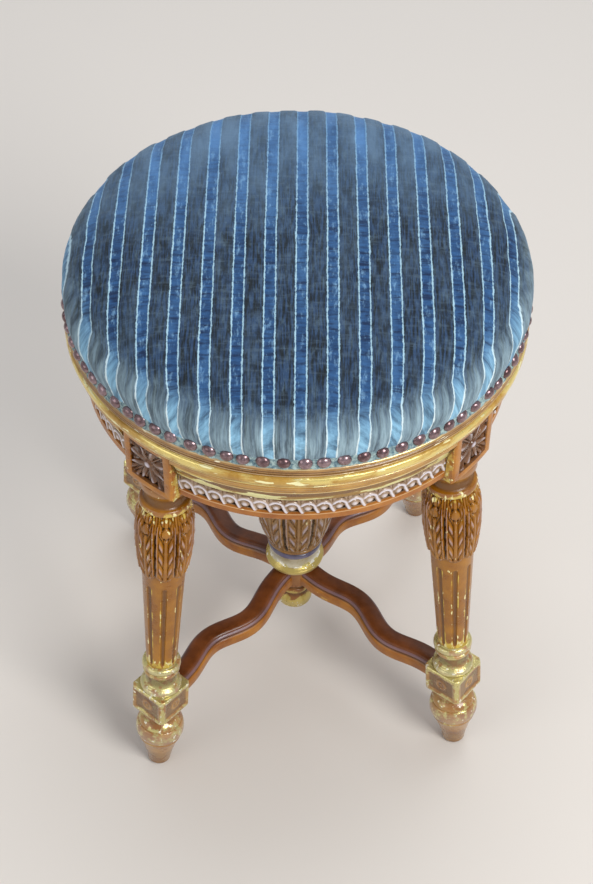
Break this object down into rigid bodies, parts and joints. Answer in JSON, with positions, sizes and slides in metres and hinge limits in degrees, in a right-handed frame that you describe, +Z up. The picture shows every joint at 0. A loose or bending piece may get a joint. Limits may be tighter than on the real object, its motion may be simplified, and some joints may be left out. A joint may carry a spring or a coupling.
{
  "type": "revolving piano stool",
  "caption": "Round piano stool with a carved and gilded frame, splayed legs joined by a curved stretcher, and a stuffed seat that rises on an iron screw as it turns.",
  "frame": {"origin": "on the floor, on the axis of the height screw, in the middle of the four feet", "axes": "+Z up along the height screw; the front faces -Y; the four legs stand on the diagonals between X and Y"},
  "size_m": [0.383, 0.383, 0.5138],
  "materials": {
    "gilt_wood": "carved wood under worn water gilding",
    "worn_gilt": "carved wood, gilding worn to the brown ground",
    "stretcher_wood": "dark polished wood with worn gilt edges",
    "plain_wood": "bare sawn wood",
    "iron": "dark greased iron",
    "bronze_nails": "bronzed brass, domed and polished",
    "velvet": "striped velvet with a short pile"
  },
  "bodies": {
    "base": {"leg_front_left": "worn_gilt", "leg_front_right": "worn_gilt", "leg_rear_right": "worn_gilt", "leg_rear_left": "worn_gilt", "corner_block_front_left": "worn_gilt", "corner_block_front_right": "worn_gilt", "corner_block_rear_right": "worn_gilt", "corner_block_rear_left": "worn_gilt", "stretcher_arm_front_left": "stretcher_wood", "stretcher_arm_front_right": "stretcher_wood", "stretcher_arm_rear_right": "stretcher_wood", "stretcher_arm_rear_left": "stretcher_wood", "apron_rail_front": "gilt_wood", "apron_rail_right": "gilt_wood", "apron_rail_rear": "gilt_wood", "apron_rail_left": "gilt_wood", "cap_ring": "gilt_wood", "stretcher_hub": "gilt_wood", "screw_column": "worn_gilt", "nut_rail_lower": "plain_wood", "nut_rail_upper": "plain_wood", "screw_nut": "iron", "nut_screw_1": "iron", "nut_screw_2": "iron", "nut_screw_3": "iron", "nut_screw_4": "iron"},
    "stop_washer": {"stop_washer": "iron"},
    "seat": {"stop_bolt": "iron", "height_screw": "iron", "seat_flange": "iron", "flange_screw_1": "iron", "flange_screw_2": "iron", "flange_screw_3": "iron", "flange_screw_4": "iron", "seat_rim": "gilt_wood", "seat_board": "plain_wood", "nail_band": "bronze_nails", "seat_pad": "velvet"}
  },
  "joints": [
    {"name": "seat_rise", "type": "slide", "parent": "base", "child": "stop_washer", "axis": [0, 0, 1], "range_m": [0, 0.09]},
    {"name": "seat_turn", "type": "hinge", "parent": "stop_washer", "child": "seat", "pos_m": [0, 0, 0.4], "axis": [0, 0, 1], "range_deg": [0, 2700]}
  ],
  "couplings": [
    {"joint": "seat_rise", "follows": "seat_turn", "m_per_rad": 0.0019099}
  ]
}
